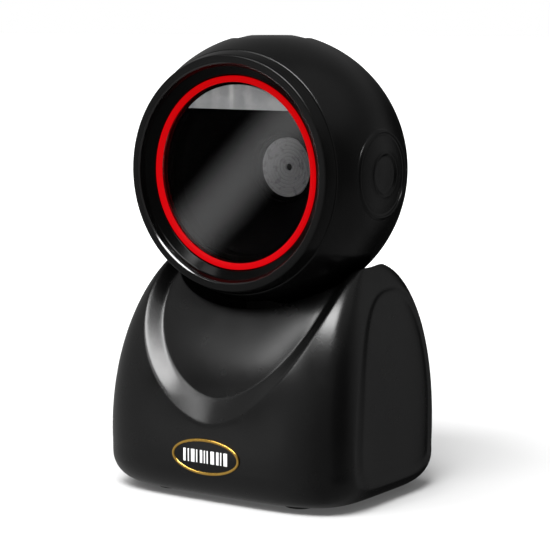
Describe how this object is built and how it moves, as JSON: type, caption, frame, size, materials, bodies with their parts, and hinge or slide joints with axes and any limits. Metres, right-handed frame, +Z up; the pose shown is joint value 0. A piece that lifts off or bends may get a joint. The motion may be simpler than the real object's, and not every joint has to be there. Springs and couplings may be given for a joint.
{
  "type": "hands-free presentation barcode scanner",
  "caption": "Ball-shaped hands-free barcode scanner head with a round window and red light ring, tilting on a weighted desk base.",
  "frame": {"origin": "on the desk at the feet's undersides, under the middle of the whole object's bounding box", "axes": "-Y is the front, where the scan window faces; +X is to the right of someone who faces the front; +Z is up"},
  "size_m": [0.0912, 0.0794, 0.1435],
  "materials": {
    "satin_black_plastic": "satin black, lightly reflective",
    "gloss_black_plastic": "glossy black",
    "red_light_guide": "smooth red, lit from behind",
    "tinted_glass": "clear, dark tinted, polished",
    "frosted_diffuser": "frosted white",
    "grey_plastic": "matt grey",
    "circuit_board": "green solder mask",
    "zinc_plated_steel": "zinc plated",
    "black_painted_steel": "black paint on steel",
    "gold_finish": "polished gold",
    "black_rubber": "matt",
    "white_led": "clear white",
    "white_acetal": "smooth, slightly waxy"
  },
  "bodies": {
    "base": {"base_housing": "satin_black_plastic", "badge_rim": "gold_finish", "badge_plate": "gloss_black_plastic", "bottom_plate": "satin_black_plastic", "base_screw_1": "zinc_plated_steel", "base_screw_2": "zinc_plated_steel", "base_screw_3": "zinc_plated_steel", "base_screw_4": "zinc_plated_steel", "rubber_foot_1": "black_rubber", "rubber_foot_2": "black_rubber", "rubber_foot_3": "black_rubber", "rubber_foot_4": "black_rubber", "ballast_plate": "zinc_plated_steel", "interface_board": "circuit_board", "cable_socket": "grey_plastic", "tilt_yoke": "black_painted_steel", "yoke_screw_right": "zinc_plated_steel", "yoke_screw_left": "zinc_plated_steel", "pivot_screw_right": "zinc_plated_steel", "pivot_screw_left": "zinc_plated_steel", "friction_washer_right": "white_acetal", "friction_washer_left": "white_acetal"},
    "head": {"head_shell": "satin_black_plastic", "front_bezel": "gloss_black_plastic", "light_ring": "red_light_guide", "ring_led_board": "circuit_board", "scan_window": "tinted_glass", "light_shroud": "satin_black_plastic", "led_diffuser": "frosted_diffuser", "led_board": "circuit_board", "white_led_1": "white_led", "white_led_2": "white_led", "white_led_3": "white_led", "optics_chassis": "satin_black_plastic", "chassis_screw_right": "zinc_plated_steel", "chassis_screw_left": "zinc_plated_steel", "board_spacer_right": "grey_plastic", "board_spacer_left": "grey_plastic", "engine_housing": "satin_black_plastic", "lens_baffle": "grey_plastic", "scan_lens": "tinted_glass", "sensor_board": "circuit_board", "decoder_board": "circuit_board", "beeper": "satin_black_plastic", "rear_cover": "satin_black_plastic", "cover_screw_right": "zinc_plated_steel", "cover_screw_left": "zinc_plated_steel", "pivot_cap_right": "satin_black_plastic", "pivot_cap_left": "satin_black_plastic", "button_board": "circuit_board", "tact_switch": "grey_plastic"},
    "button": {"trigger_button": "satin_black_plastic"}
  },
  "joints": [
    {"name": "head_tilt", "type": "hinge", "parent": "base", "child": "head", "pos_m": [0, -0.00325, 0.1015], "axis": [1, 0, 0], "range_deg": [-20, 15]},
    {"name": "button_press", "type": "slide", "parent": "head", "child": "button", "axis": [0, 0, -1], "range_m": [0, 0.0008], "stiffness_N_per_m": 1500, "springref_m": -0.0004}
  ]
}
